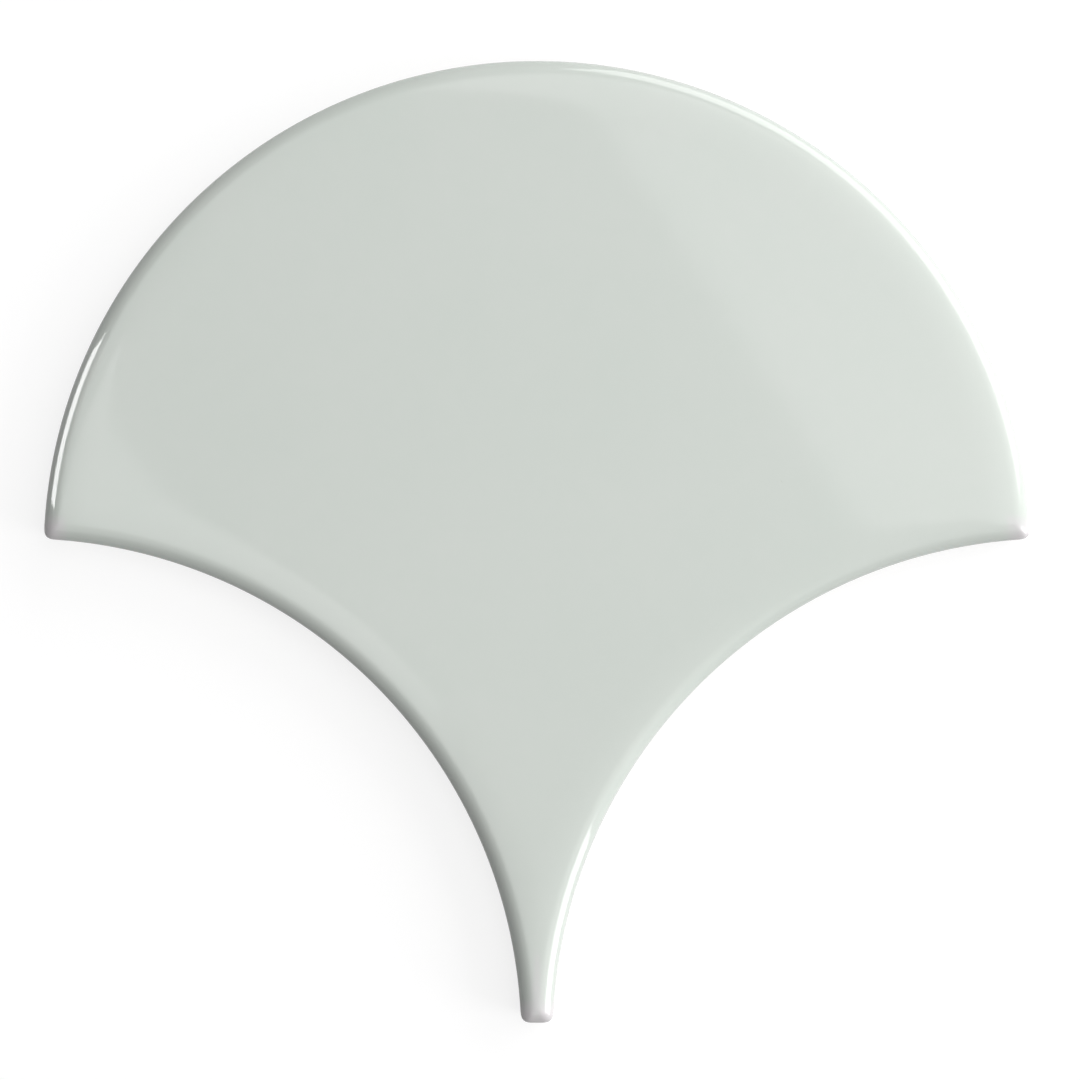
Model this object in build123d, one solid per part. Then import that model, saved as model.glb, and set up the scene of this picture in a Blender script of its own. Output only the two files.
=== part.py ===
from build123d import *
import math
import os

os.makedirs("parts", exist_ok=True)

# Fish-scale wall tile, pressed from one piece of clay, glazed on its face and fired.
# Millimetres and degrees. The origin is the centre of the fan head's arc, on the back plane.
# +X points to the right wing, +Y to the crown of the fan and +Z out of the glazed face.

# Plan
head_radius = 75.0      # round fan head, which sets the tile's width
laying_joint = 1.0      # gap that stays open for grout between two tiles
row_pitch = 73.6        # step from one row of tiles to the next
neck_width = 4.8        # stem between the two hollow sides, where they come closest
corner_round = 1.5      # plan rounding of the wing corners and of the tip

# Section
thickness = 8.0
edge_round = 2.2        # soft shoulder all round the glazed face
upright_band = 1.3      # side that stays upright below the shoulder, so that joints are even
side_draft = 2.0        # below it the sides lean in, so that the tile leaves its die
back_chamfer = 0.6      # broken edge round the back

# Keying channels, pressed into the back to hold the adhesive
rim_width = 6.0         # flat border left all round the back
rib_width = 2.5         # flat rib left between two channels
channel_width = 5.5
channel_depth = 0.8
channel_round = 1.2     # plan rounding of a channel's ends
channel_draft = 25.0    # lean of a channel's walls

# A tile nests between the fan heads of the tiles beside and below it, one joint away.
hollow_radius = head_radius + laying_joint
half_column = hollow_radius + neck_width / 2
tip_reach = 2 * row_pitch - hollow_radius

# The stem is narrow, so its two roundings always leave a flat between them.
widest_round = 0.48 * neck_width
corner = min(corner_round, widest_round)
shoulder = min(edge_round, widest_round)
draft_height = thickness - shoulder - upright_band


def wing_corner():
    """Where the fan head's arc crosses the arc of the right-hand hollow side."""
    reach = math.hypot(half_column, row_pitch)
    along = (reach**2 + head_radius**2 - hollow_radius**2) / (2 * reach)
    across = math.sqrt(head_radius**2 - along**2)
    x = (along * half_column + across * row_pitch) / reach
    y = (across * half_column - along * row_pitch) / reach
    return x, y


def tile_plan():
    """Outline with its corners still sharp: a round head, two hollow sides and a blunt tip."""
    wing_x, wing_y = wing_corner()
    below_waist = tip_reach - row_pitch
    tip_x = half_column - math.sqrt(hollow_radius**2 - below_waist**2)
    head = ThreePointArc((-wing_x, wing_y), (0, head_radius), (wing_x, wing_y))
    right = RadiusArc((wing_x, wing_y), (tip_x, -tip_reach), -hollow_radius)
    tip = Line((tip_x, -tip_reach), (-tip_x, -tip_reach))
    left = RadiusArc((-tip_x, -tip_reach), (-wing_x, wing_y), -hollow_radius)
    return make_face(Curve() + [head, right, tip, left])


def tile_body(plan):
    """Biscuit: rounded corners, upright band over leaning sides, soft shoulder, broken back edge."""
    section = Pos(0, 0, draft_height) * fillet(plan.vertices(), corner)
    body = extrude(section, amount=thickness - draft_height)
    body += extrude(section, amount=-draft_height, taper=side_draft)
    face = body.faces().sort_by(Axis.Z)[-1]
    body = fillet(face.edges(), shoulder)
    back = body.faces().sort_by(Axis.Z)[0]
    return chamfer(back.edges(), back_chamfer)


def keying_channels(plan):
    """Parallel channels across the back, inside the border, with a rib on the X axis."""
    inside = offset(plan, -rim_width)
    pitch = rib_width + channel_width
    rows = math.ceil(max(head_radius, tip_reach) / pitch)
    lean = channel_depth * math.tan(math.radians(channel_draft))
    least_height = 3 * channel_round
    least_area = channel_width**2
    channels = []
    for row in range(-rows, rows):
        middle = Pos(0, (row + 0.5) * pitch)
        strip = inside & (middle * Rectangle(2 * head_radius, channel_width))
        for piece in strip.faces():
            if piece.bounding_box().size.Y < least_height or piece.area < least_area:
                continue
            core = offset(piece, -channel_round)
            mouth = offset(core, channel_round)
            floor = Pos(0, 0, channel_depth) * offset(core, channel_round - lean)
            channels.append(loft([mouth.face(), floor.face()], ruled=True))
    return channels


def fish_scale_tile():
    plan = tile_plan()
    tile = tile_body(plan)
    for channel in keying_channels(plan):
        tile -= channel
    return tile


tile = fish_scale_tile()
tile.label = "fish_scale_tile"
export_step(tile, "parts/fish_scale_tile.step")
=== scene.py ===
import math
from collections import namedtuple

import bpy
from bpy.props import FloatProperty, FloatVectorProperty, PointerProperty
from mathutils import Matrix, Vector
from mathutils.geometry import delaunay_2d_cdt


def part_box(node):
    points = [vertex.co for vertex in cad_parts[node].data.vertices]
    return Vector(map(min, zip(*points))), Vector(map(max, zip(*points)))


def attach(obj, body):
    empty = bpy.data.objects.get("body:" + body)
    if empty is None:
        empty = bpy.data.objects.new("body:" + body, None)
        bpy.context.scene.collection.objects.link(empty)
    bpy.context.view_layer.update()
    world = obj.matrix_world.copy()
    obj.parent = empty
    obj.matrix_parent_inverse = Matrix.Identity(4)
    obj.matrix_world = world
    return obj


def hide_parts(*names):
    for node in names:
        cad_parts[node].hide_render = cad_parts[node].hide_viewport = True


bl_info = {
    "name": "Fish-Scale Wall Tile",
    "version": (1, 0, 0),
    "blender": (4, 5, 0),
    "location": "View3D > Sidebar > Tile",
    "description": "Makes a glazed fish-scale wall tile with a ribbed back, and its stage",
    "category": "Object",
}

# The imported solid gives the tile's reach, thickness and place. Lengths here are metres.
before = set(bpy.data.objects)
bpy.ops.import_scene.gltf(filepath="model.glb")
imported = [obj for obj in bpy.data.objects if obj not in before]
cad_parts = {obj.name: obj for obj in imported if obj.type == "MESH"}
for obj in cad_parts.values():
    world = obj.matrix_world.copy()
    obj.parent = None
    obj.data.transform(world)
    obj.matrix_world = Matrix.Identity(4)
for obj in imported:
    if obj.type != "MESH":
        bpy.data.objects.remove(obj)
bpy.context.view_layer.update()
SOLID = "fish_scale_tile"
LOWEST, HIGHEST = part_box(SOLID)
HEAD_RADIUS = HIGHEST.y
TIP_REACH = -LOWEST.y
THICKNESS = HIGHEST.z
MM = 0.001

# Mesh of the glazed face
CORNER_POWER = 4.0          # how tightly the rolled edge turns a corner
PILLOW_POWER = 3            # how late the soft fall of the face steepens
SPOKE_DEPTH = 2.3 * MM      # how far in the spokes of the rolled edge begin
SPOKE_SPARE = 1.5 * MM      # how much longer a spoke may be where it runs out into a corner
HALVINGS = 26               # steps in which a point of a spoke is found
LAST_RING_TURN = 70.0       # degrees that the last ring has turned over towards the flat face
RINGS = 12
HEAD_STEPS = 300
HOLLOW_STEPS = 140
WING_STEPS = 14
TIP_CORNER_STEPS = 10
TIP_STEPS = 4
# Spacing of the points inside the rings, and the depths from the outline between which it holds
FACE_GRADES = (
    (0.36 * MM, 1.95 * MM, 3.4 * MM),
    (0.8 * MM, 3.7 * MM, 6.5 * MM),
    (1.8 * MM, 7.2 * MM, HEAD_RADIUS),
)
INSIDE_RIM = 1              # kind of net that has triangles only inside its rim
NET_TOLERANCE = 1e-6        # millimetres within which two points of the net are one
MERGE_DISTANCE = 0.002 * MM     # within which two points of the finished mesh are one
FACE_WAVES = 34.0           # slow waves of the face in a metre
HEM_WAVES = 110.0           # wanderings of the glaze's end in a metre

# Mesh of the keying channels
BAR_WIDTH = 2.0 * MM        # of a channel's bar, before its ends are moved out to the border
CROWN_SHARE = 0.999         # how near to the crown of the border a channel may reach
ROUND_STEPS = 6             # points of a channel's rounded corner
WALL_STEP = 0.45 * MM       # spacing of the points along a channel's wall

# Attributes that only the making of the mesh needs
WORKING_ATTRIBUTES = ("edge_share", "pillow_share", "foot", "outward", "row", "glazed")

# Surface of the glaze and of the biscuit
CERAMIC_IOR = 1.5
GLAZE_ROUGHNESS_SPREAD = 0.03
BISCUIT_ROUGHNESS = 0.86
BISCUIT_ROUGHNESS_SPREAD = 0.12
# The greyer tone at the corners and the tip is partly thin glaze and partly a painted reflection of
# their rounded edges.
CORNER_REACH = 4.5 * MM     # how near two edges are where the glaze begins to run thin between them
THIN_GLAZE_AND_REFLECTION_GAIN = 1.6       # how far the thin tone reaches back from where they meet
THIN_GLAZE_AND_REFLECTION_RAG = 0.6        # how ragged its end is
THIN_GLAZE_AND_REFLECTION_FADE = 0.25      # share of CORNER_REACH over which it fades in


class TileSizes(bpy.types.PropertyGroup):
    """Sizes of the tile that its reach and thickness leave open."""

    laying_joint: FloatProperty(
        name="Laying joint", description="Gap that stays open for grout between two tiles",
        default=1.0 * MM, min=0.0, unit="LENGTH", precision=5)
    neck_width: FloatProperty(
        name="Neck width", description="Stem between the two hollow sides, where they come closest",
        default=4.8 * MM, min=1.0 * MM, unit="LENGTH", precision=5)
    roll_width: FloatProperty(
        name="Roll width", description="How far the rolled edge reaches in over the face",
        default=2.5 * MM, min=2.4 * MM, unit="LENGTH", precision=5)
    roll_drop: FloatProperty(
        name="Roll drop", description="How far the rolled edge falls from the face to the upright band",
        default=2.2 * MM, min=0.1 * MM, unit="LENGTH", precision=5)
    pillow_width: FloatProperty(
        name="Pillow width", description="How far in the face begins to fall softly towards its edge",
        default=8.0 * MM, min=3.0 * MM, unit="LENGTH", precision=5)
    pillow_drop: FloatProperty(
        name="Pillow drop", description="How much of the roll drop lies in this soft fall",
        default=0.5 * MM, min=0.0, unit="LENGTH", precision=5)
    upright_band: FloatProperty(
        name="Upright band", description="Side that stays upright below the rolled edge",
        default=1.3 * MM, min=0.0, unit="LENGTH", precision=5)
    side_draft: FloatProperty(
        name="Side draft", description="Lean of the sides below the upright band",
        default=math.radians(2.0), min=0.0, unit="ROTATION")
    hem_height: FloatProperty(
        name="Hem height", description="Height above the back at which the glaze ends on the sides",
        default=2.5 * MM, min=1.0 * MM, unit="LENGTH", precision=5)
    hem_wander: FloatProperty(
        name="Hem wander", description="How far the glaze runs above and below that height",
        default=0.55 * MM, min=0.0, unit="LENGTH", precision=5)
    glaze_coat: FloatProperty(
        name="Glaze coat", description="Thickness of the glaze where it ends on the sides",
        default=0.18 * MM, min=0.01 * MM, unit="LENGTH", precision=5)
    face_wave: FloatProperty(
        name="Face wave", description="Depth of the slow waves that firing leaves in the glazed face",
        default=0.03 * MM, min=0.0, unit="LENGTH", precision=5)
    back_chamfer: FloatProperty(
        name="Back chamfer", description="Broken edge round the back",
        default=0.6 * MM, min=0.1 * MM, unit="LENGTH", precision=5)
    rim_width: FloatProperty(
        name="Rim width", description="Flat border left all round the back",
        default=6.0 * MM, min=1.0 * MM, unit="LENGTH", precision=5)
    rib_width: FloatProperty(
        name="Rib width", description="Flat rib left between two keying channels",
        default=2.5 * MM, min=0.5 * MM, unit="LENGTH", precision=5)
    channel_width: FloatProperty(
        name="Channel width", description="Width of a keying channel",
        default=5.5 * MM, min=1.0 * MM, unit="LENGTH", precision=5)
    channel_depth: FloatProperty(
        name="Channel depth", description="Depth of a keying channel",
        default=0.8 * MM, min=0.3 * MM, unit="LENGTH", precision=5)
    channel_round: FloatProperty(
        name="Channel round", description="Rounding of a keying channel's ends, seen from the back",
        default=1.2 * MM, min=0.1 * MM, unit="LENGTH", precision=5)
    channel_draft: FloatProperty(
        name="Channel draft", description="Lean of a keying channel's walls",
        default=math.radians(25.0), min=0.0, unit="ROTATION")
    channel_lip: FloatProperty(
        name="Channel lip", description="Softness of a keying channel's edges",
        default=0.22 * MM, min=0.01 * MM, unit="LENGTH", precision=5)


class TileFinish(bpy.types.PropertyGroup):
    """Colours and gloss of the glaze and of the bare biscuit."""

    glaze_colour: FloatVectorProperty(
        name="Glaze", description="Pale sage of the glaze where it lies even",
        subtype="COLOR", min=0.0, max=1.0, default=(0.575, 0.612, 0.574))
    glaze_pool: FloatVectorProperty(
        name="Glaze pool", description="Slightly greener tone where the glaze has gathered",
        subtype="COLOR", min=0.0, max=1.0, default=(0.557, 0.602, 0.56))
    # Greyer tone at the corners and stem: partly thin glaze, partly a painted reflection of the rounded
    # corners.
    thin_glaze_and_reflection: FloatVectorProperty(
        name="Thin glaze", description="Greyer tone where the glaze is thin, at the corners and stem",
        subtype="COLOR", min=0.0, max=1.0, default=(0.612, 0.592, 0.602))
    glaze_roughness: FloatProperty(
        name="Glaze roughness", description="Roughness of the glazed face",
        subtype="FACTOR", min=0.0, max=1.0, default=0.05)
    biscuit_colour: FloatVectorProperty(
        name="Biscuit", description="Fired clay of the back and the lower sides",
        subtype="COLOR", min=0.0, max=1.0, default=(0.72, 0.66, 0.57))
    biscuit_shade: FloatVectorProperty(
        name="Biscuit shade", description="Second tone of the fired clay",
        subtype="COLOR", min=0.0, max=1.0, default=(0.62, 0.55, 0.46))


class StageLight(bpy.types.PropertyGroup):
    """The plain stage. A brightness of 1 is white."""

    floor_colour: FloatVectorProperty(
        name="Floor", description="Colour of the floor, grey so that it throws little light back",
        subtype="COLOR", min=0.0, max=1.0, default=(0.25, 0.25, 0.25))
    floor_white: FloatProperty(
        name="Floor white", description="White that is added to the floor where it is seen or mirrored",
        min=0.0, default=0.79)
    fill: FloatProperty(
        name="Fill", description="Even light from all round", min=0.0, default=0.02)
    ceiling: FloatProperty(
        name="Ceiling", description="Brightness of the wide diffuser under the ceiling",
        min=0.0, default=0.9)
    overhead: FloatProperty(
        name="Overhead panel", description="Brightness of the panel that the right half mirrors",
        min=0.0, default=1.05)
    wing: FloatProperty(
        name="Wing panel", description="Brightness of the panel that the left wing mirrors",
        min=0.0, default=1.1)
    right: FloatProperty(
        name="Right softbox", description="Brightness of the softbox on the right",
        min=0.0, default=6.2)
    upper_right: FloatProperty(
        name="Upper right softbox", description="Brightness of the wide softbox at the upper right",
        min=0.0, default=3.6)
    left: FloatProperty(
        name="Left softbox", description="Brightness of the softbox on the left, only seen mirrored",
        min=0.0, default=12.5)


Plan = namedtuple("Plan", "hollow_radius half_column row_pitch roll_width pillow_width")
Spoke = namedtuple("Spoke", "foot outward")


def tile_plan(sizes):
    """The rule of the outline: a tile nests between the heads of its neighbours, one joint away."""
    hollow_radius = HEAD_RADIUS + sizes.laying_joint
    half_column = hollow_radius + sizes.neck_width / 2
    row_pitch = (TIP_REACH + hollow_radius) / 2
    return Plan(hollow_radius, half_column, row_pitch, sizes.roll_width, sizes.pillow_width)


def edge_depths(plan, x, y):
    """How far a point lies inside the head, the right hollow, the left hollow and the tip."""
    up = y + plan.row_pitch
    right = math.hypot(x - plan.half_column, up) - plan.hollow_radius
    left = math.hypot(x + plan.half_column, up) - plan.hollow_radius
    return HEAD_RADIUS - math.hypot(x, y), right, left, y + TIP_REACH


def edge_share(plan, x, y):
    """1 on the outline and 0 where the rolled edge has met the flat face, blended at the corners."""
    shares = (max(0.0, 1 - depth / plan.roll_width) for depth in edge_depths(plan, x, y))
    return sum(share**CORNER_POWER for share in shares) ** (1 / CORNER_POWER)


def pillow_share(plan, x, y):
    """1 on the outline and 0 where the soft fall of the face towards its edge begins."""
    level = 1.0
    for depth in edge_depths(plan, x, y):
        level *= 1 - min(1.0, max(0.0, 1 - depth / plan.pillow_width)) ** PILLOW_POWER
    return 1 - level


def corner_share(plan, x, y):
    """1 where two edges meet and 0 where at most one of them is near."""
    second_nearest = sorted(edge_depths(plan, x, y))[1]
    return min(1.0, max(0.0, 1 - second_nearest / CORNER_REACH))


def arc_spokes(centre, radius, outside, start, stop, steps):
    """Spokes square to a stretch of arc. The tile lies outside a hollow's arc and inside the head's."""
    foot_radius = radius + SPOKE_DEPTH if outside else radius - SPOKE_DEPTH
    for step in range(steps):
        angle = start + (stop - start) * step / steps
        away = Vector((math.cos(angle), math.sin(angle)))
        yield Spoke(centre + foot_radius * away, -away if outside else away)


def fan_spokes(foot, start, stop, steps):
    """Spokes that fan out round a corner."""
    for step in range(steps):
        angle = start + (stop - start) * step / steps
        yield Spoke(foot, Vector((math.cos(angle), math.sin(angle))))


def right_side_spokes(plan):
    """Spokes from the crown down the right side to the middle of the tip, clockwise."""
    hollow = Vector((plan.half_column, -plan.row_pitch))
    head_reach = HEAD_RADIUS - SPOKE_DEPTH
    hollow_reach = plan.hollow_radius + SPOKE_DEPTH

    # Wing corner, where the inset head and the inset hollow cross
    along = (hollow.length_squared + head_reach**2 - hollow_reach**2) / (2 * hollow.length)
    across = math.sqrt(head_reach**2 - along**2)
    forward = hollow.normalized()
    wing = forward * along + Vector((-forward.y, forward.x)) * across
    wing_from_head = math.atan2(wing.y, wing.x)
    wing_from_hollow = math.atan2(wing.y - hollow.y, wing.x - hollow.x)

    # Tip corner, where the inset hollow crosses the inset tip
    tip_y = SPOKE_DEPTH - TIP_REACH
    tip_x = hollow.x - math.sqrt(hollow_reach**2 - (tip_y - hollow.y) ** 2)
    tip_from_hollow = math.atan2(tip_y - hollow.y, tip_x - hollow.x)

    yield from arc_spokes(
        Vector((0, 0)), HEAD_RADIUS, False, math.pi / 2, wing_from_head, HEAD_STEPS // 2)
    yield from fan_spokes(wing, wing_from_head, wing_from_hollow - math.pi, WING_STEPS)
    yield from arc_spokes(
        hollow, plan.hollow_radius, True, wing_from_hollow, tip_from_hollow, HOLLOW_STEPS)
    yield from fan_spokes(
        Vector((tip_x, tip_y)), tip_from_hollow - math.pi, -math.pi / 2, TIP_CORNER_STEPS)
    for step in range(TIP_STEPS // 2 + 1):
        yield Spoke(Vector((tip_x * (1 - 2 * step / TIP_STEPS), tip_y)), Vector((0, -1)))


def tile_spokes(plan):
    """Spokes all round the rolled edge. The left side mirrors the right."""
    right = list(right_side_spokes(plan))
    mirrored = [
        Spoke(Vector((-foot.x, foot.y)), Vector((-outward.x, outward.y)))
        for foot, outward in reversed(right[1:-1])
    ]
    return right + mirrored


def point_at_share(plan, spoke, share):
    """The point of a spoke at which the rolled edge has a given share. Found by halving."""
    near, far = 0.0, SPOKE_DEPTH + SPOKE_SPARE
    for _ in range(HALVINGS):
        middle = (near + far) / 2
        point = spoke.foot + spoke.outward * middle
        if edge_share(plan, *point) < share:
            near = middle
        else:
            far = middle
    return spoke.foot + spoke.outward * far


def inner_points(plan):
    """Points of the face inside the rings, closer together where the rolled edge still bends."""
    for spacing, nearest, farthest in FACE_GRADES:
        row_step = spacing * math.sqrt(3) / 2
        rows = math.ceil(TIP_REACH / row_step)
        columns = math.ceil(HEAD_RADIUS / spacing)
        for row in range(-rows, math.ceil(HEAD_RADIUS / row_step) + 1):
            shift = spacing / 2 if row % 2 else 0.0
            for column in range(-columns, columns + 1):
                point = Vector((column * spacing + shift, row * row_step))
                if nearest <= min(edge_depths(plan, *point)) < farthest:
                    yield point


def keep_values(mesh, name, kind, part, values):
    """Stores a value for each point of a mesh."""
    mesh.attributes.new(name, kind, "POINT").data.foreach_set(part, values)


def face_mesh(plan):
    """The flat plan of the face: rings along the rolled edge and a net of triangles inside them."""
    spokes = tile_spokes(plan)
    count = len(spokes)
    turns = [math.radians(LAST_RING_TURN) * ring / (RINGS - 1) for ring in range(RINGS)]
    points, faces = [], []
    for ring, turn in enumerate(turns):
        points += [point_at_share(plan, spoke, math.cos(turn)) for spoke in spokes]
        if ring:
            outer, inner = (ring - 1) * count, ring * count
            faces += [
                (outer + step, inner + step, inner + (step + 1) % count, outer + (step + 1) % count)
                for step in range(count)
            ]
    last = (RINGS - 1) * count
    net = [point / MM for point in points[last:] + list(inner_points(plan))]
    rim = list(reversed(range(count)))
    net_points, _, net_faces, *_ = delaunay_2d_cdt(net, [], [rim], INSIDE_RIM, NET_TOLERANCE)
    if len(net_points) != len(net):
        raise RuntimeError("the net inside the rings lost or gained points")
    points += [point * MM for point in net_points[count:]]
    faces += [tuple(last + corner for corner in face) for face in net_faces]

    mesh = bpy.data.meshes.new("face_plan")
    mesh.from_pydata([(*point, 0.0) for point in points], [], faces)
    inside = points[count:]
    edge = [1.0] * count + [edge_share(plan, *point) for point in inside]
    outward = [part for spoke in spokes for part in (*spoke.outward, 0.0)]
    outward += [0.0, 0.0, 0.0] * len(inside)
    keep_values(mesh, "edge_share", "FLOAT", "value", edge)
    pillow = [pillow_share(plan, *point) for point in points]
    # Where the greyer tone goes: thin glaze and a painted reflection, at the corners and the stem.
    thin_glaze_and_reflection = [corner_share(plan, *point) for point in points]
    keep_values(mesh, "pillow_share", "FLOAT", "value", pillow)
    keep_values(mesh, "thin_glaze_and_reflection", "FLOAT", "value", thin_glaze_and_reflection)
    keep_values(mesh, "outward", "FLOAT_VECTOR", "vector", outward)
    return mesh


class Field:
    """A number worked out in a node tree, so that the tile's rule reads as arithmetic."""

    def __init__(self, socket):
        self.socket = socket
        self.tree = socket.id_data

    def work(self, operation, *terms):
        """Adds a node that works on some terms, and gives its result."""
        node = self.tree.nodes.new("ShaderNodeMath")
        node.operation = operation
        for place, term in zip(node.inputs, terms):
            feed(place, term)
        return Field(node.outputs[0])

    def __add__(self, other):
        return self.work("ADD", self, other)

    __radd__ = __add__

    def __sub__(self, other):
        return self.work("SUBTRACT", self, other)

    def __rsub__(self, other):
        return self.work("SUBTRACT", other, self)

    def __mul__(self, other):
        return self.work("MULTIPLY", self, other)

    __rmul__ = __mul__

    def __truediv__(self, other):
        return self.work("DIVIDE", self, other)

    def __rtruediv__(self, other):
        return self.work("DIVIDE", other, self)

    def __neg__(self):
        return self.work("MULTIPLY", self, -1.0)

    def __lt__(self, other):
        return self.work("LESS_THAN", self, other)

    def root(self):
        """Square root, with anything below zero read as zero."""
        return self.work("SQRT", self.at_least(0.0))

    def tangent(self):
        return self.work("TANGENT", self)

    def sign(self):
        return self.work("SIGN", self)

    def at_least(self, other):
        return self.work("MAXIMUM", self, other)

    def at_most(self, other):
        return self.work("MINIMUM", self, other)


def feed(place, term):
    """Gives a node's input a plain value or another node's result."""
    if isinstance(term, Field):
        term = term.socket
    if isinstance(term, bpy.types.NodeSocket):
        place.id_data.links.new(term, place)
    else:
        place.default_value = term


def add_node(tree, kind, inputs=None, **settings):
    """Adds a node with its settings and inputs."""
    node = tree.nodes.new(kind)
    for name, value in settings.items():
        setattr(node, name, value)
    for name, value in (inputs or {}).items():
        feed(node.inputs[name], value)
    return node


def parts_of(tree, vector):
    """The x, y and z of a vector, as numbers to work with."""
    node = add_node(tree, "ShaderNodeSeparateXYZ", {0: vector})
    return [Field(socket) for socket in node.outputs]


def vector_of(tree, x, y, z):
    """A vector from its three parts."""
    return add_node(tree, "ShaderNodeCombineXYZ", {0: x, 1: y, 2: z}).outputs[0]


def named_attribute(tree, name, data_type="FLOAT"):
    """Reads an attribute of the mesh or curve."""
    node = add_node(tree, "GeometryNodeInputNamedAttribute", {"Name": name}, data_type=data_type)
    return node.outputs[0]


def keep_attribute(tree, geometry, name, value, data_type="FLOAT", domain="POINT", selection=True):
    """Stores a value in an attribute of the selected points or faces."""
    return add_node(tree, "GeometryNodeStoreNamedAttribute", {
        "Geometry": geometry, "Selection": selection, "Name": name, "Value": value},
        data_type=data_type, domain=domain).outputs[0]


def mark_faces(tree, geometry, glazed, selection=True):
    """Marks faces as glazed or as bare biscuit."""
    return keep_attribute(
        tree, geometry, "glazed", 1.0 if glazed else 0.0, domain="FACE", selection=selection)


def place_points(tree, geometry, x, y, z, selection=True):
    """Moves the selected points to a place."""
    position = vector_of(tree, x, y, z)
    return add_node(tree, "GeometryNodeSetPosition", {
        "Geometry": geometry, "Selection": selection, "Position": position}).outputs[0]


def add_ring(tree, geometry, selection, step_out, height, glazed=False):
    """Extrudes the selected edges to a new ring, a step out from their first place, at a height.

    Gives the geometry and the new ring's edges.
    """
    extrude = add_node(tree, "GeometryNodeExtrudeMesh", {
        "Mesh": geometry, "Selection": selection, "Offset Scale": 0.0}, mode="EDGES")
    foot_x, foot_y, _ = parts_of(tree, named_attribute(tree, "foot", "FLOAT_VECTOR"))
    out_x, out_y, _ = parts_of(tree, named_attribute(tree, "outward", "FLOAT_VECTOR"))
    ring = place_points(
        tree, extrude.outputs["Mesh"], foot_x + out_x * step_out, foot_y + out_y * step_out, height,
        extrude.outputs["Top"])
    return mark_faces(tree, ring, glazed, extrude.outputs["Side"]), extrude.outputs["Top"]


def edges_as_curve(tree, geometry, selection):
    """The selected edges as closed curves."""
    node = add_node(tree, "GeometryNodeMeshToCurve", {"Mesh": geometry, "Selection": selection})
    return node.outputs[0]


def fill_downward(tree, curves, height):
    """Fills closed curves, less the curves inside them, with a flat face that looks down."""
    filled = add_node(tree, "GeometryNodeFillCurve", {"Curve": curves}, mode="TRIANGLES").outputs[0]
    turned = add_node(tree, "GeometryNodeFlipFaces", {"Mesh": filled}).outputs[0]
    return add_node(tree, "GeometryNodeTransform", {
        "Geometry": turned, "Translation": vector_of(tree, 0.0, 0.0, height)}).outputs[0]


def join(tree, *pieces):
    """Several geometries as one."""
    node = tree.nodes.new("GeometryNodeJoinGeometry")
    for piece in pieces:
        feed(node.inputs[0], piece)
    return node.outputs[0]


def rolled_face(tree, size):
    """Lifts the flat plan to the face, its slow waves, its soft fall outward and its rolled edge."""
    x, y, _ = parts_of(tree, add_node(tree, "GeometryNodeInputPosition").outputs[0])
    share = Field(named_attribute(tree, "edge_share"))
    slow = add_node(tree, "ShaderNodeTexNoise", {"Scale": FACE_WAVES, "Detail": 1.0})
    wave = Field(slow.outputs[0]) * size["Face wave"] * (1 - share)
    turned = 1 - (1 - share * share).root()
    fall = Field(named_attribute(tree, "pillow_share")) * size["Pillow drop"]
    roll = (size["Roll drop"] - size["Pillow drop"]) * turned
    height = size["Thickness"] - fall - roll - wave
    foot = keep_attribute(
        tree, size["Geometry"], "foot", add_node(tree, "GeometryNodeInputPosition").outputs[0],
        "FLOAT_VECTOR")
    return place_points(tree, foot, x, y, height)


def body_sides(tree, size, face):
    """Upright band, leaning side, the glaze's rolled hem, bare side and the broken back edge."""
    faces_beside = Field(add_node(tree, "GeometryNodeInputMeshEdgeNeighbors").outputs[0])
    outline = faces_beside < 1.5
    band_top = size["Thickness"] - size["Roll drop"]
    band_foot = band_top - size["Upright band"]
    lean = size["Side draft"].tangent()
    foot = named_attribute(tree, "foot", "FLOAT_VECTOR")
    run = add_node(tree, "ShaderNodeTexNoise", {"Vector": foot, "Scale": HEM_WAVES, "Detail": 2.0})
    hem = size["Hem height"] + (Field(run.outputs[0]) - 0.5) * size["Hem wander"] * 2.0
    coat = size["Glaze coat"]
    chamfer = size["Back chamfer"]

    def leaning(height):
        return (height - band_foot).at_most(0.0) * lean

    # Rings down the side, each with its step out from the outline and its height
    hem_line = leaning(hem)
    glazed_rings = [
        (0.0, band_foot),
        (leaning(hem + coat * 2.0), hem + coat * 2.0),
        (hem_line - coat * 0.05, hem + coat * 0.9),
        (hem_line - coat * 0.35, hem + coat * 0.2),
        (hem_line - coat * 0.8, hem),
        (hem_line - coat, hem + coat * 0.1),
    ]
    back_edge = -band_foot * lean - coat
    bare_rings = [
        (hem_line - coat, hem - coat * 0.4),
        (leaning(chamfer * 1.3) - coat, chamfer * 1.3),
        (leaning(chamfer) - coat - chamfer * 0.1, chamfer * 0.9),
        (back_edge - chamfer * 0.9, chamfer * 0.1),
        (back_edge - chamfer * 1.3, 0.0),
        (back_edge - chamfer * 1.8, 0.0),
    ]
    geometry, selection = face, outline
    for step_out, height in glazed_rings:
        geometry, selection = add_ring(tree, geometry, selection, step_out, height, glazed=True)
    for step_out, height in bare_rings:
        geometry, selection = add_ring(tree, geometry, selection, step_out, height)
    return geometry, edges_as_curve(tree, geometry, selection)


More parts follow.
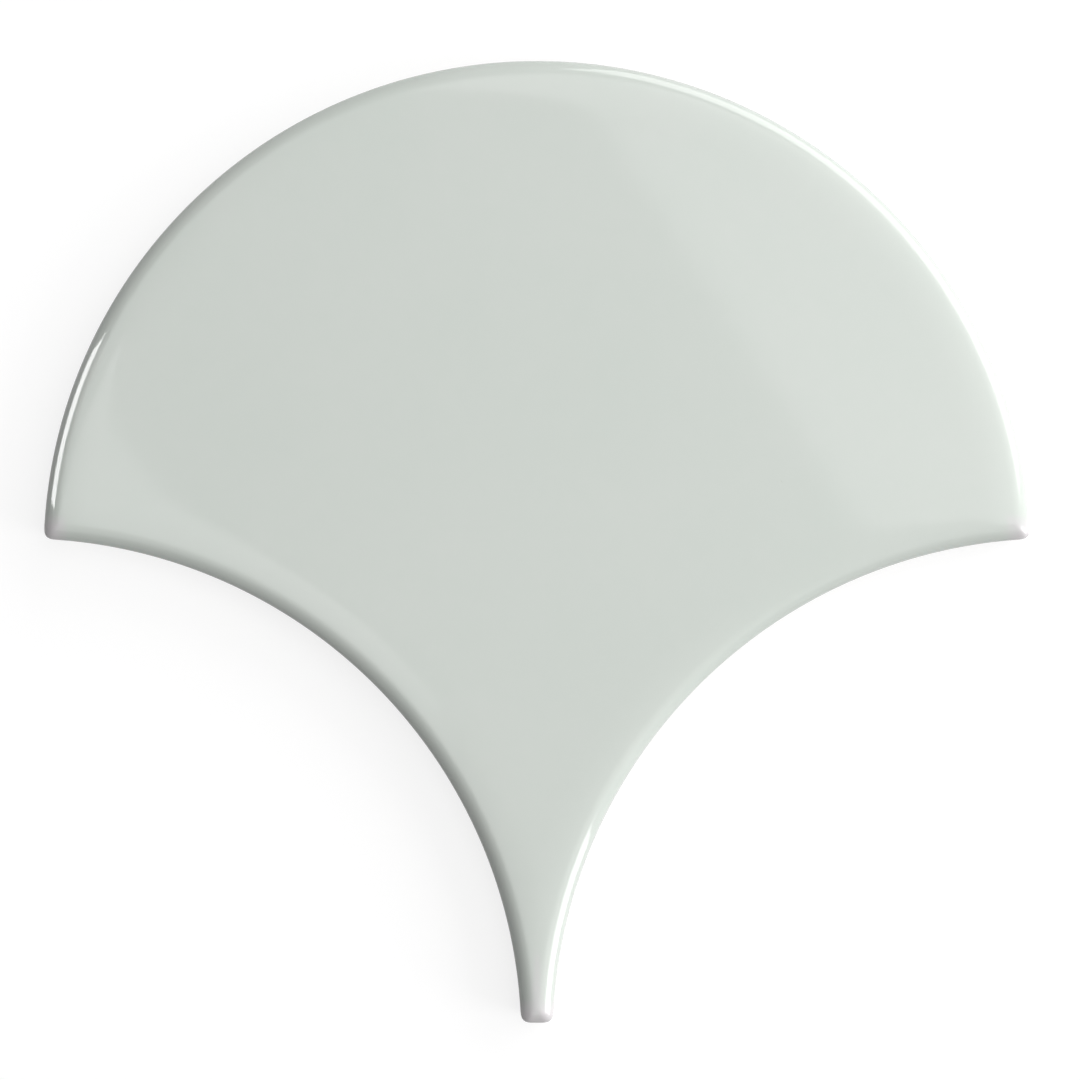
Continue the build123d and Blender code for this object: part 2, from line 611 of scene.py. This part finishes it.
def channel_mouths(tree, size):
    """Closed curves of the keying channels: bars across the back, ended by the tile's own outline."""
    pitch = size["Rib width"] + size["Channel width"]
    head = size["Head radius"] - size["Rim width"]
    hollow = size["Hollow radius"] + size["Rim width"]
    half_column, row_pitch = size["Half column"], size["Row pitch"]

    def half_length(y):
        up = y + row_pitch
        beside_hollow = half_column - (hollow * hollow - up * up).root()
        return (head * head - y * y).root().at_most(beside_hollow).at_least(0.0)

    first = (0.5 - size["Rows"] * 0.5) * pitch
    rows = add_node(tree, "GeometryNodeMeshLine", {
        "Count": size["Rows"], "Start Location": vector_of(tree, 0.0, first, 0.0),
        "Offset": vector_of(tree, 0.0, pitch, 0.0)})
    _, row_y, _ = parts_of(tree, add_node(tree, "GeometryNodeInputPosition").outputs[0])
    marked = keep_attribute(tree, rows.outputs[0], "row", row_y)
    bar = add_node(tree, "GeometryNodeCurvePrimitiveQuadrilateral", {
        "Width": BAR_WIDTH, "Height": size["Channel width"]})
    bars = add_node(tree, "GeometryNodeInstanceOnPoints", {
        "Points": marked, "Instance": bar.outputs[0]})
    real = add_node(tree, "GeometryNodeRealizeInstances", {"Geometry": bars.outputs[0]})

    row = Field(named_attribute(tree, "row"))
    low = row - size["Channel width"] * 0.5
    high = (row + size["Channel width"] * 0.5).at_most(head * CROWN_SHARE)
    x, y, _ = parts_of(tree, add_node(tree, "GeometryNodeInputPosition").outputs[0])
    y = y.at_most(high)
    ended = place_points(tree, real.outputs[0], x.sign() * half_length(y), y, 0.0)
    area = (half_length(low) + half_length(high)) * (high - low)
    kept = add_node(tree, "GeometryNodeDeleteGeometry", {
        "Geometry": ended, "Selection": area < size["Channel width"] * size["Channel width"]},
        domain="CURVE")
    filleted = add_node(tree, "GeometryNodeFilletCurve", {
        "Curve": kept.outputs[0], "Count": ROUND_STEPS, "Radius": size["Channel round"],
        "Limit Radius": True}, mode="POLY")
    return add_node(tree, "GeometryNodeResampleCurve", {
        "Curve": filleted.outputs[0], "Length": WALL_STEP}, mode="LENGTH").outputs[0]


def keying_channels(tree, size):
    """Walls and floors of the channels, and the curves that their mouths cut from the back."""
    mouths = channel_mouths(tree, size)
    along_x, along_y, _ = parts_of(tree, add_node(tree, "GeometryNodeInputTangent").outputs[0])
    position = add_node(tree, "GeometryNodeInputPosition").outputs[0]
    footed = keep_attribute(tree, mouths, "foot", position, "FLOAT_VECTOR")
    outward = vector_of(tree, along_y, -along_x, 0.0)
    facing = keep_attribute(tree, footed, "outward", outward, "FLOAT_VECTOR")
    lip = size["Channel lip"]
    depth = size["Channel depth"]
    lean = size["Channel draft"].tangent()
    wall_foot = lean * (lip - depth)
    x, y, _ = parts_of(tree, named_attribute(tree, "foot", "FLOAT_VECTOR"))
    out_x, out_y, _ = parts_of(tree, named_attribute(tree, "outward", "FLOAT_VECTOR"))
    mouth = place_points(tree, facing, x + out_x * lip, y + out_y * lip, 0.0)
    wire = add_node(tree, "GeometryNodeCurveToMesh", {"Curve": mouth})
    # Rings from the lip to the floor, each with its step out from the mouth's curve and its height
    rings = [
        (lip * 0.42, lip * 0.1),
        (lip * 0.08, lip * 0.4),
        (-lean * lip, lip),
        (wall_foot, depth - lip),
        (wall_foot - lip * 0.3, depth - lip * 0.3),
        (wall_foot - lip, depth),
        (wall_foot - lip * 2.0, depth),
    ]
    geometry, selection = wire.outputs[0], True
    for step_out, height in rings:
        geometry, selection = add_ring(tree, geometry, selection, step_out, height)
    floor = fill_downward(tree, edges_as_curve(tree, geometry, selection), depth)
    return join(tree, geometry, floor), mouth


def tile_tree(measures, materials):
    """The tree that makes the tile from the flat plan of its face."""
    tree = bpy.data.node_groups.new("fish_scale_tile", "GeometryNodeTree")
    sockets = tree.interface
    sockets.new_socket("Geometry", in_out="INPUT", socket_type="NodeSocketGeometry")
    sockets.new_socket("Geometry", in_out="OUTPUT", socket_type="NodeSocketGeometry")
    for name, value in measures.items():
        kind = "NodeSocketInt" if isinstance(value, int) else "NodeSocketFloat"
        sockets.new_socket(name, in_out="INPUT", socket_type=kind).default_value = value
    for name in materials:
        sockets.new_socket(name, in_out="INPUT", socket_type="NodeSocketMaterial")
    given = tree.nodes.new("NodeGroupInput").outputs
    size = {name: Field(given[name]) for name in (*measures, *materials, "Geometry")}

    face = mark_faces(tree, rolled_face(tree, size), True)
    sides, border = body_sides(tree, size, face)
    channels, mouths = keying_channels(tree, size)
    back = fill_downward(tree, join(tree, border, mouths), 0.0)
    whole = join(tree, sides, channels, back)
    merged = add_node(tree, "GeometryNodeMergeByDistance", {
        "Geometry": whole, "Distance": MERGE_DISTANCE})
    smooth = add_node(tree, "GeometryNodeSetShadeSmooth", {"Geometry": merged.outputs[0]})
    real = add_node(tree, "GeometryNodeRealizeInstances", {"Geometry": smooth.outputs[0]})
    bare = add_node(tree, "GeometryNodeSetMaterial", {
        "Geometry": real.outputs[0], "Material": size["Biscuit"]})
    coated = add_node(tree, "GeometryNodeSetMaterial", {
        "Geometry": bare.outputs[0], "Selection": named_attribute(tree, "glazed"),
        "Material": size["Glaze"]})
    feed(tree.nodes.new("NodeGroupOutput").inputs[0], coated.outputs[0])
    return tree


def tile_measures(sizes, plan):
    """The tree's sizes by the names of its inputs."""
    pitch = sizes.rib_width + sizes.channel_width
    return {
        "Thickness": THICKNESS,
        "Roll drop": sizes.roll_drop,
        "Pillow drop": sizes.pillow_drop,
        "Upright band": sizes.upright_band,
        "Side draft": sizes.side_draft,
        "Hem height": sizes.hem_height,
        "Hem wander": sizes.hem_wander,
        "Glaze coat": sizes.glaze_coat,
        "Face wave": sizes.face_wave,
        "Back chamfer": sizes.back_chamfer,
        "Head radius": HEAD_RADIUS,
        "Hollow radius": plan.hollow_radius,
        "Half column": plan.half_column,
        "Row pitch": plan.row_pitch,
        "Rim width": sizes.rim_width,
        "Rib width": sizes.rib_width,
        "Channel width": sizes.channel_width,
        "Channel depth": sizes.channel_depth,
        "Channel round": sizes.channel_round,
        "Channel draft": sizes.channel_draft,
        "Channel lip": sizes.channel_lip,
        "Rows": 2 * math.ceil(HEAD_RADIUS / pitch),
    }


def make_tile(sizes, materials):
    """Runs the tree on the flat plan of the face and keeps the result as one plain mesh."""
    plan = tile_plan(sizes)
    measures = tile_measures(sizes, plan)
    rough = bpy.data.objects.new("tile_plan", face_mesh(plan))
    bpy.context.scene.collection.objects.link(rough)
    tree = tile_tree(measures, materials)
    modifier = rough.modifiers.new("section", "NODES")
    modifier.node_group = tree
    for item in tree.interface.items_tree:
        if item.in_out == "INPUT" and item.name in measures:
            modifier[item.identifier] = measures[item.name]
        elif item.in_out == "INPUT" and item.name in materials:
            modifier[item.identifier] = materials[item.name]
    evaluated = rough.evaluated_get(bpy.context.evaluated_depsgraph_get())
    mesh = bpy.data.meshes.new_from_object(evaluated)
    mesh.name = "glazed_tile"
    mesh.materials.pop(index=0)
    for name in WORKING_ATTRIBUTES:
        mesh.attributes.remove(mesh.attributes[name])
    bpy.data.objects.remove(rough)
    tile = bpy.data.objects.new("glazed_tile", mesh)
    bpy.context.scene.collection.objects.link(tile)
    return tile


def new_group(name, inputs, outputs):
    """An empty shader group with named sockets, and its input and output nodes."""
    tree = bpy.data.node_groups.new(name, "ShaderNodeTree")
    for way, sockets in (("INPUT", inputs), ("OUTPUT", outputs)):
        for socket, kind in sockets.items():
            tree.interface.new_socket(socket, in_out=way, socket_type=f"NodeSocket{kind}")
    given = tree.nodes.new("NodeGroupInput").outputs
    wanted = tree.nodes.new("NodeGroupOutput").inputs
    return tree, given, wanted


def object_place(tree):
    """The place of a point in the tile's own frame."""
    return add_node(tree, "ShaderNodeTexCoord").outputs["Object"]


def noise(tree, size, detail=2.0, shift=0.0):
    """Soft random field from 0 to 1, with patches of a given size in metres."""
    place = add_node(tree, "ShaderNodeVectorMath", {0: object_place(tree), 1: (shift, shift, shift)})
    return Field(add_node(tree, "ShaderNodeTexNoise", {
        "Vector": place.outputs[0], "Scale": 1.0 / size, "Detail": detail}).outputs[0])


def wandering(tree, middle, patch, spread):
    """A value that wanders about its middle, in patches of a given size."""
    return middle + (noise(tree, patch) - 0.5) * spread


def mixed_colour(tree, share, first, second):
    """Two colours mixed. A share of 0 is the first and 1 the second."""
    factor, first_colour, second_colour, result = 0, 6, 7, 2    # places of the node's sockets
    node = add_node(
        tree, "ShaderNodeMix", {factor: share, first_colour: first, second_colour: second},
        data_type="RGBA")
    return node.outputs[result]


def mottle_group():
    """Two tones in slow patches with a finer cloud over them."""
    tree, given, wanted = new_group(
        "mottle", {"First": "Color", "Second": "Color", "Patch size": "Float"}, {"Colour": "Color"})
    patch = Field(given["Patch size"])
    fine_size, fine_weight, contrast = 0.12, 0.3, 2.4
    slow = noise(tree, patch)
    fine = noise(tree, patch * fine_size, shift=0.3)
    share = (slow * (1 - fine_weight) + fine * fine_weight - 0.5) * contrast + 0.5
    feed(wanted["Colour"], mixed_colour(tree, share, given["First"], given["Second"]))
    return tree


def fired_relief_group():
    """Height of slow waves, grain and scattered pinholes, in metres."""
    sizes = (
        "Wave size", "Wave depth", "Grain size", "Grain depth", "Pit spacing", "Pit size", "Pit depth")
    tree, given, wanted = new_group("fired_relief", dict.fromkeys(sizes, "Float"), {"Height": "Float"})
    size = {name: Field(given[name]) for name in sizes}
    waves = noise(tree, size["Wave size"], detail=1.0) * size["Wave depth"]
    grain = noise(tree, size["Grain size"], detail=3.0, shift=0.1) * size["Grain depth"]
    cells = add_node(tree, "ShaderNodeTexVoronoi", {
        "Vector": object_place(tree), "Scale": 1.0 / size["Pit spacing"]})
    reach = size["Pit size"] / size["Pit spacing"] * 0.5
    near = add_node(tree, "ShaderNodeMapRange", {
        "Value": cells.outputs["Distance"], "From Min": 0.0, "From Max": reach,
        "To Min": 1.0, "To Max": 0.0}, interpolation_type="SMOOTHSTEP")
    pits = Field(near.outputs[0]) * size["Pit depth"]
    feed(wanted["Height"], waves + grain - pits)
    return tree


def place_group(tree, group, inputs):
    """Places a shader group in a tree and gives its first output."""
    node = tree.nodes.new("ShaderNodeGroup")
    node.node_tree = group
    for name, value in inputs.items():
        feed(node.inputs[name], value)
    return node.outputs[0]


def finish_material(name, colour, roughness, height):
    """Joins a colour, a roughness and a relief in one opaque surface."""
    material = bpy.data.materials.new(name)
    material.use_nodes = True
    tree = material.node_tree
    surface = tree.nodes["Principled BSDF"]
    bump = add_node(tree, "ShaderNodeBump", {"Height": height(tree), "Strength": 1.0, "Distance": 1.0})
    feed(surface.inputs["Base Color"], colour(tree))
    feed(surface.inputs["Roughness"], roughness(tree))
    feed(surface.inputs["Normal"], bump.outputs[0])
    surface.inputs["IOR"].default_value = CERAMIC_IOR
    return material


def opaque(colour):
    """A colour with the fourth part that its sockets ask for."""
    return (*colour, 1.0)


def thin_glaze_and_reflection_share(tree):
    """1 where the glaze has run thin and a greyer reflection is painted, at the corners and the stem,
    and 0 where it lies even.
    """
    node = add_node(tree, "ShaderNodeAttribute", attribute_name="thin_glaze_and_reflection")
    corner = Field(node.outputs["Fac"])
    rag = (noise(tree, 2.5 * MM, shift=0.7) - 0.5) * THIN_GLAZE_AND_REFLECTION_RAG
    # Share of thin glaze and painted reflection, before it fades in.
    thin = (corner * THIN_GLAZE_AND_REFLECTION_GAIN + rag).at_least(0.0)
    return thin.at_most(1.0) * (corner.at_most(THIN_GLAZE_AND_REFLECTION_FADE) / THIN_GLAZE_AND_REFLECTION_FADE)


def glaze_material(finish, mottle, relief):
    """Glossy sage glaze: even and wet-looking, with slow waves and a few pinholes."""
    def colour(tree):
        even = place_group(tree, mottle, {
            "First": opaque(finish.glaze_colour), "Second": opaque(finish.glaze_pool),
            "Patch size": 26.0 * MM})
        # Greyer at the corners and stem: partly thin glaze, partly a painted reflection.
        return mixed_colour(tree, thin_glaze_and_reflection_share(tree), even, opaque(finish.thin_glaze_and_reflection))

    def roughness(tree):
        return wandering(tree, finish.glaze_roughness, 9.0 * MM, GLAZE_ROUGHNESS_SPREAD)

    def height(tree):
        return place_group(tree, relief, {
            "Wave size": 7.0 * MM, "Wave depth": 0.004 * MM,
            "Grain size": 1.1 * MM, "Grain depth": 0.0002 * MM,
            "Pit spacing": 17.0 * MM, "Pit size": 0.4 * MM, "Pit depth": 0.05 * MM})

    return finish_material("sage_glaze", colour, roughness, height)


def biscuit_material(finish, mottle, relief):
    """Matt fired clay with an open grain."""
    def colour(tree):
        return place_group(tree, mottle, {
            "First": opaque(finish.biscuit_colour), "Second": opaque(finish.biscuit_shade),
            "Patch size": 14.0 * MM})

    def roughness(tree):
        return wandering(tree, BISCUIT_ROUGHNESS, 2.0 * MM, BISCUIT_ROUGHNESS_SPREAD)

    def height(tree):
        return place_group(tree, relief, {
            "Wave size": 4.0 * MM, "Wave depth": 0.05 * MM,
            "Grain size": 0.4 * MM, "Grain depth": 0.045 * MM,
            "Pit spacing": 3.4 * MM, "Pit size": 0.5 * MM, "Pit depth": 0.09 * MM})

    return finish_material("fired_biscuit", colour, roughness, height)


# The stage. The camera looks straight down at a point a little to the right of the centre of the
# head's arc, and a little nearer to the crown.
VIEW_CENTRE = Vector((0.474 * MM, 2.181 * MM, 0.0))
VIEW_WIDTH = 164.14 * MM    # width that the picture shows at the height of the upright band
BAND_HEIGHT = 5.8 * MM
LENS = 100.0                # millimetres, as the sensor
SENSOR = 36.0
CLIP_START = 0.01
FLOOR_SIZE = 12.0

# Panels overhead. Each has a seam, two points of the face between which its edge is mirrored.
PANEL_HEIGHT = 2.2
OVERHEAD_SEAM = (Vector((5.8 * MM, 72.8 * MM)), Vector((48.5 * MM, 4.5 * MM)))
OVERHEAD_SIZE = (0.9, 1.6)
WING_SEAM = (Vector((-48.0 * MM, -1.0 * MM)), Vector((-65.0 * MM, 19.0 * MM)))
WING_SIZE = (0.4, 0.6)
CEILING_PLACE = Vector((1.1, -0.4, 2.3))
CEILING_SIZE = (4.2, 4.2)

# Softboxes round the tile, with their azimuth and elevation in degrees and their distance
RIGHT_PLACE = (-18, 21, 0.8)
RIGHT_SIZE = (0.36, 0.56)
UPPER_RIGHT_PLACE = (46, 20, 1.0)
UPPER_RIGHT_SIZE = (1.45, 0.7)
LEFT_PLACE = (165, 27, 1.9)
LEFT_SIZE = (0.62, 0.98)

RIGHTWARDS = Vector((1, 0, 0))
UPWARDS = Vector((0, 0, 1))


def make_camera():
    """The camera, as high above the tile as its lens needs for the width of the view."""
    camera = bpy.data.cameras.new("camera")
    camera.lens = LENS
    camera.sensor_width = SENSOR
    camera.clip_start = CLIP_START
    holder = bpy.data.objects.new("camera", camera)
    distance = VIEW_WIDTH * LENS / SENSOR
    holder.location = VIEW_CENTRE + Vector((0, 0, BAND_HEIGHT + distance))
    bpy.context.scene.collection.objects.link(holder)
    bpy.context.scene.camera = holder
    return holder


def softbox(name, place, aim, size, brightness, width_along=None):
    """A rectangular lamp that faces a point. At a brightness of 1 it looks plain white.

    Its width is level, or lies along a given direction.
    """
    width, height = size
    lamp = bpy.data.lights.new(name, "AREA")
    lamp.shape = "RECTANGLE"
    lamp.size, lamp.size_y = width, height
    lamp.energy = brightness * math.pi * width * height
    holder = bpy.data.objects.new(name, lamp)
    holder.location = place
    facing = (aim - place).normalized()
    across = (width_along or facing.cross(UPWARDS)).normalized()
    up = across.cross(facing)
    turned = Matrix((across, up, -facing)).transposed().to_4x4()
    holder.matrix_world = Matrix.Translation(place) @ turned
    bpy.context.scene.collection.objects.link(holder)
    return holder


def around(azimuth, elevation, distance):
    """A place round the tile. Azimuth 0 is to the right and 90 towards the crown."""
    turn, rise = math.radians(azimuth), math.radians(elevation)
    flat = math.cos(rise)
    return distance * Vector((math.cos(turn) * flat, math.sin(turn) * flat, math.sin(rise)))


def mirrored_panel(name, camera, seam, size, brightness):
    """A panel overhead whose edge the flat face mirrors along a seam, and which lies to its left."""
    eye = camera.location - Vector((0, 0, THICKNESS))
    spread = 1 + PANEL_HEIGHT / eye.z
    ends = [eye.xy + (point - eye.xy) * spread for point in seam]
    along = (ends[1] - ends[0]).normalized()
    inward = Vector((-along.y, along.x))
    middle = (ends[0] + ends[1]) / 2 + inward * size[0] / 2
    place = Vector((*middle, THICKNESS + PANEL_HEIGHT))
    return softbox(name, place, place - UPWARDS, size, brightness, Vector((*inward, 0)))


def make_lamps(light, camera):
    """The panels overhead and the softboxes round the tile."""
    mirrored_panel("overhead_panel", camera, OVERHEAD_SEAM, OVERHEAD_SIZE, light.overhead)
    mirrored_panel("wing_panel", camera, WING_SEAM, WING_SIZE, light.wing)
    below = CEILING_PLACE - UPWARDS
    softbox("ceiling_diffuser", CEILING_PLACE, below, CEILING_SIZE, light.ceiling, RIGHTWARDS)
    aim = Vector((0, 0, THICKNESS))
    softbox("right_softbox", around(*RIGHT_PLACE), aim, RIGHT_SIZE, light.right)
    softbox("upper_right_softbox", around(*UPPER_RIGHT_PLACE), aim, UPPER_RIGHT_SIZE, light.upper_right)
    left = softbox("left_softbox", around(*LEFT_PLACE), aim, LEFT_SIZE, light.left)
    left.visible_diffuse = False


def seen_or_mirrored(tree):
    """1 for what the camera sees straight, in a gloss or through glass, and 0 for light that falls."""
    rays = add_node(tree, "ShaderNodeLightPath").outputs
    mirrored = Field(rays["Is Glossy Ray"]).at_least(rays["Is Transmission Ray"])
    return mirrored.at_least(rays["Is Camera Ray"])


def make_world(light):
    """Even fill light. The camera and mirrored rays see plain white."""
    world = bpy.data.worlds.new("studio")
    bpy.context.scene.world = world
    world.use_nodes = True
    tree = world.node_tree
    background = tree.nodes["Background"]
    background.inputs["Color"].default_value = (1, 1, 1, 1)
    feed(background.inputs["Strength"], seen_or_mirrored(tree) * (1 - light.fill) + light.fill)
    return world


def make_floor(light):
    """A wide, matt floor: grey for the light that it throws back, and white where it is looked at."""
    half = FLOOR_SIZE / 2
    corners = [(-half, -half, 0), (half, -half, 0), (half, half, 0), (-half, half, 0)]
    mesh = bpy.data.meshes.new("floor")
    mesh.from_pydata(corners, [], [(0, 1, 2, 3)])
    material = bpy.data.materials.new("pale_floor")
    material.use_nodes = True
    tree = material.node_tree
    surface = tree.nodes["Principled BSDF"]
    surface.inputs["Base Color"].default_value = opaque(light.floor_colour)
    surface.inputs["Roughness"].default_value = 1.0
    surface.inputs["Specular IOR Level"].default_value = 0.0
    surface.inputs["Emission Color"].default_value = (1, 1, 1, 1)
    feed(surface.inputs["Emission Strength"], seen_or_mirrored(tree) * light.floor_white)
    mesh.materials.append(material)
    floor = bpy.data.objects.new("floor", mesh)
    bpy.context.scene.collection.objects.link(floor)
    return floor


class OBJECT_OT_fish_scale_tile(bpy.types.Operator):
    """Make the glazed tile in place of its plain solid"""

    bl_idname = "object.fish_scale_tile"
    bl_label = "Fish-Scale Tile"

    def execute(self, context):
        finish = context.scene.tile_finish
        mottle, relief = mottle_group(), fired_relief_group()
        materials = {
            "Glaze": glaze_material(finish, mottle, relief),
            "Biscuit": biscuit_material(finish, mottle, relief),
        }
        tile = make_tile(context.scene.tile_sizes, materials)
        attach(tile, "root")
        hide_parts(SOLID)
        return {"FINISHED"}


class OBJECT_OT_tile_stage(bpy.types.Operator):
    """Make the camera, the lamps, the floor and the white surround"""

    bl_idname = "object.tile_stage"
    bl_label = "Stage"

    def execute(self, context):
        light = context.scene.tile_light
        camera = make_camera()
        make_lamps(light, camera)
        make_world(light)
        make_floor(light)
        context.scene.view_settings.view_transform = "Standard"
        return {"FINISHED"}


class VIEW3D_PT_fish_scale_tile(bpy.types.Panel):
    """Sizes, colours and steps of the tile"""

    bl_label = "Fish-Scale Tile"
    bl_space_type = "VIEW_3D"
    bl_region_type = "UI"
    bl_category = "Tile"

    def draw(self, context):
        column = self.layout.column()
        for group in (context.scene.tile_sizes, context.scene.tile_finish):
            for name in group.__annotations__:
                column.prop(group, name)
        column.operator(OBJECT_OT_fish_scale_tile.bl_idname)
        for name in context.scene.tile_light.__annotations__:
            column.prop(context.scene.tile_light, name)
        column.operator(OBJECT_OT_tile_stage.bl_idname)


CLASSES = (
    TileSizes,
    TileFinish,
    StageLight,
    OBJECT_OT_fish_scale_tile,
    OBJECT_OT_tile_stage,
    VIEW3D_PT_fish_scale_tile,
)


def register():
    for each in CLASSES:
        bpy.utils.register_class(each)
    bpy.types.Scene.tile_sizes = PointerProperty(type=TileSizes)
    bpy.types.Scene.tile_finish = PointerProperty(type=TileFinish)
    bpy.types.Scene.tile_light = PointerProperty(type=StageLight)


def unregister():
    del bpy.types.Scene.tile_light
    del bpy.types.Scene.tile_finish
    del bpy.types.Scene.tile_sizes
    for each in reversed(CLASSES):
        bpy.utils.unregister_class(each)


def main():
    register()
    bpy.ops.object.fish_scale_tile()
    bpy.ops.object.tile_stage()


if __name__ == "__main__":
    main()
